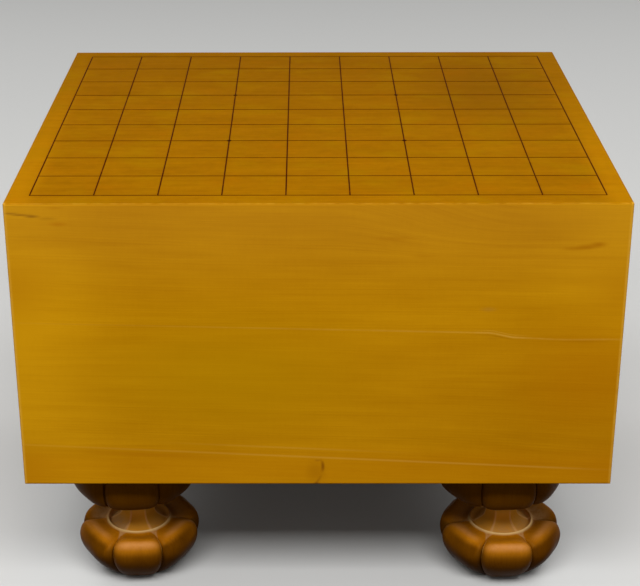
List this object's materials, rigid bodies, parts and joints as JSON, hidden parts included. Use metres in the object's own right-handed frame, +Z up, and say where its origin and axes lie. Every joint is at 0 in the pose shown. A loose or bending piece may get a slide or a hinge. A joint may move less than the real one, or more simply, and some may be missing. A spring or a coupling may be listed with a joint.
{
  "type": "shogi board",
  "caption": "Floor-standing wooden shogi board: a thick block with a ruled playing grid in raised lacquer, on carved legs that plug into its underside.",
  "frame": {"origin": "centre of the footprint, on the floor under the legs", "axes": "+Z up, +X along the long side of the block (across the files), +Y along the short side, away from the player at the front"},
  "size_m": [0.364, 0.333, 0.2792],
  "materials": {
    "board_wood": "hand-planed and waxed light kaya wood with straight grain, honey coloured with age",
    "leg_wood": "carved and thinly varnished wood, satin, darker than the block",
    "lacquer": "raised dark lacquer lines, hard and glossy"
  },
  "bodies": {
    "board": {"board_block": "board_wood", "file_lines": "lacquer", "rank_lines": "lacquer", "star_points": "lacquer"},
    "leg_front_left": {"leg_front_left": "leg_wood"},
    "leg_front_right": {"leg_front_right": "leg_wood"},
    "leg_back_left": {"leg_back_left": "leg_wood"},
    "leg_back_right": {"leg_back_right": "leg_wood"}
  },
  "joints": [
    {"name": "pull_out_front_left", "type": "slide", "parent": "board", "child": "leg_front_left", "axis": [0, 0, -1], "range_m": [0, 0.03]},
    {"name": "pull_out_front_right", "type": "slide", "parent": "board", "child": "leg_front_right", "axis": [0, 0, -1], "range_m": [0, 0.03]},
    {"name": "pull_out_back_left", "type": "slide", "parent": "board", "child": "leg_back_left", "axis": [0, 0, -1], "range_m": [0, 0.03]},
    {"name": "pull_out_back_right", "type": "slide", "parent": "board", "child": "leg_back_right", "axis": [0, 0, -1], "range_m": [0, 0.03]}
  ]
}
